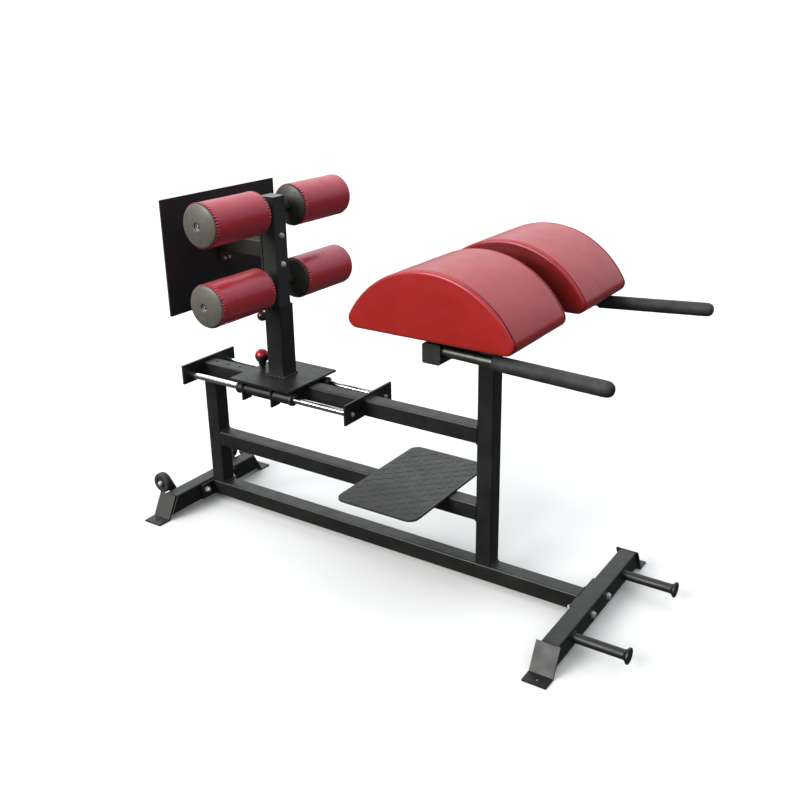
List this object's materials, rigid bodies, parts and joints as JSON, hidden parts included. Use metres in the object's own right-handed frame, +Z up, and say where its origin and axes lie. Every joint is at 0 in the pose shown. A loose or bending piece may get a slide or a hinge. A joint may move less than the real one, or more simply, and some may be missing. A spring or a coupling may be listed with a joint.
{
  "type": "roman chair",
  "caption": "Floor-standing roman chair for back raises: square-tube frame, crowned thigh pads, hand rails, sliding carriage with foot plate and ankle rollers.",
  "frame": {"origin": "centre of the footprint's bounding box, on the floor", "axes": "+X from the foot plate to the hand rails, +Y to the far side, +Z up"},
  "size_m": [2.005, 0.8672, 1.286],
  "materials": {
    "frame_paint": "satin black powder coat",
    "tread_paint": "dark grey tread plate, worn on its raised bars",
    "chrome_rod": "polished hard chrome",
    "zinc_steel": "bright zinc",
    "bare_tube": "satin grey steel tube",
    "red_vinyl": "red upholstery vinyl with a fine grain",
    "grip_foam": "matt black foam rubber",
    "wheel_rubber": "matt black rubber",
    "black_plastic": "moulded black plastic",
    "red_knob": "glossy red moulded knob"
  },
  "bodies": {
    "frame": {"bottom_rail": "frame_paint", "mid_rail": "frame_paint", "top_rail": "frame_paint", "rear_upright": "frame_paint", "front_upright": "frame_paint", "rear_foot_tube": "frame_paint", "rear_rail_flange": "frame_paint", "rear_foot_strap_near": "frame_paint", "rear_foot_strap_far": "frame_paint", "rear_foot_bolt_near": "zinc_steel", "rear_foot_bolt_far": "zinc_steel", "front_foot_tube": "frame_paint", "front_rail_flange": "frame_paint", "front_foot_strap_near": "frame_paint", "front_foot_strap_far": "frame_paint", "front_foot_bolt_near": "zinc_steel", "front_foot_bolt_far": "zinc_steel", "storage_horn_near": "frame_paint", "storage_horn_far": "frame_paint", "wheel_bracket_near": "frame_paint", "wheel_bracket_far": "frame_paint", "wheel_bolt_near": "zinc_steel", "wheel_bolt_far": "zinc_steel", "step_plate": "tread_paint", "rear_rod_plate": "frame_paint", "front_rod_plate": "frame_paint", "guide_rod_near": "chrome_rod", "guide_rod_far": "chrome_rod", "pad_beam": "frame_paint", "beam_cap_near": "black_plastic", "beam_cap_far": "black_plastic", "thigh_pad_near": "red_vinyl", "thigh_pad_far": "red_vinyl", "pad_bracket_near": "frame_paint", "pad_bracket_far": "frame_paint", "handle_bar_near": "bare_tube", "handle_bar_far": "bare_tube", "handle_grip_near": "grip_foam", "handle_grip_far": "grip_foam"},
    "carriage": {"carriage_plate": "frame_paint", "slide_bush_near": "frame_paint", "slide_bush_far": "frame_paint", "mast_sleeve": "frame_paint"},
    "mast": {"mast_tube": "frame_paint", "mast_cap": "black_plastic", "foot_plate_arm": "frame_paint", "foot_plate": "frame_paint", "mast_bolt_lower": "zinc_steel", "mast_bolt_upper": "zinc_steel", "roller_axle_upper": "zinc_steel", "roller_axle_lower": "zinc_steel"},
    "carriage_lock": {"carriage_pin": "red_knob"},
    "height_lock": {"mast_pin": "red_knob"},
    "roller_upper_near": {"ankle_roller_upper_near": "red_vinyl"},
    "roller_upper_far": {"ankle_roller_upper_far": "red_vinyl"},
    "roller_lower_near": {"ankle_roller_lower_near": "red_vinyl"},
    "roller_lower_far": {"ankle_roller_lower_far": "red_vinyl"},
    "transport_wheel_near": {"wheel_near": "wheel_rubber"},
    "transport_wheel_far": {"wheel_far": "wheel_rubber"}
  },
  "joints": [
    {"name": "carriage_slide", "type": "slide", "parent": "frame", "child": "carriage", "axis": [1, 0, 0], "range_m": [-0.232, 0.232]},
    {"name": "mast_height", "type": "slide", "parent": "carriage", "child": "mast", "axis": [0, 0, 1], "range_m": [-0.05, 0.1]},
    {"name": "carriage_lock_pull", "type": "slide", "parent": "carriage", "child": "carriage_lock", "axis": [0, 0, 1], "range_m": [-0.008, 0.012], "stiffness_N_per_m": 2000},
    {"name": "height_lock_pull", "type": "slide", "parent": "carriage", "child": "height_lock", "axis": [-1, 0, 0], "range_m": [-0.008, 0.012], "stiffness_N_per_m": 2000},
    {"name": "roller_upper_near_spin", "type": "hinge", "parent": "mast", "child": "roller_upper_near", "pos_m": [-0.4695, 0, 1.211], "axis": [0, 1, 0], "continuous": true},
    {"name": "roller_upper_far_spin", "type": "hinge", "parent": "mast", "child": "roller_upper_far", "pos_m": [-0.4695, 0, 1.211], "axis": [0, 1, 0], "continuous": true},
    {"name": "roller_lower_near_spin", "type": "hinge", "parent": "mast", "child": "roller_lower_near", "pos_m": [-0.4695, 0, 0.945], "axis": [0, 1, 0], "continuous": true},
    {"name": "roller_lower_far_spin", "type": "hinge", "parent": "mast", "child": "roller_lower_far", "pos_m": [-0.4695, 0, 0.945], "axis": [0, 1, 0], "continuous": true},
    {"name": "wheel_near_spin", "type": "hinge", "parent": "frame", "child": "transport_wheel_near", "pos_m": [-0.9625, -0.185, 0.107], "axis": [0, 1, 0], "continuous": true},
    {"name": "wheel_far_spin", "type": "hinge", "parent": "frame", "child": "transport_wheel_far", "pos_m": [-0.9625, 0.185, 0.107], "axis": [0, 1, 0], "continuous": true}
  ]
}
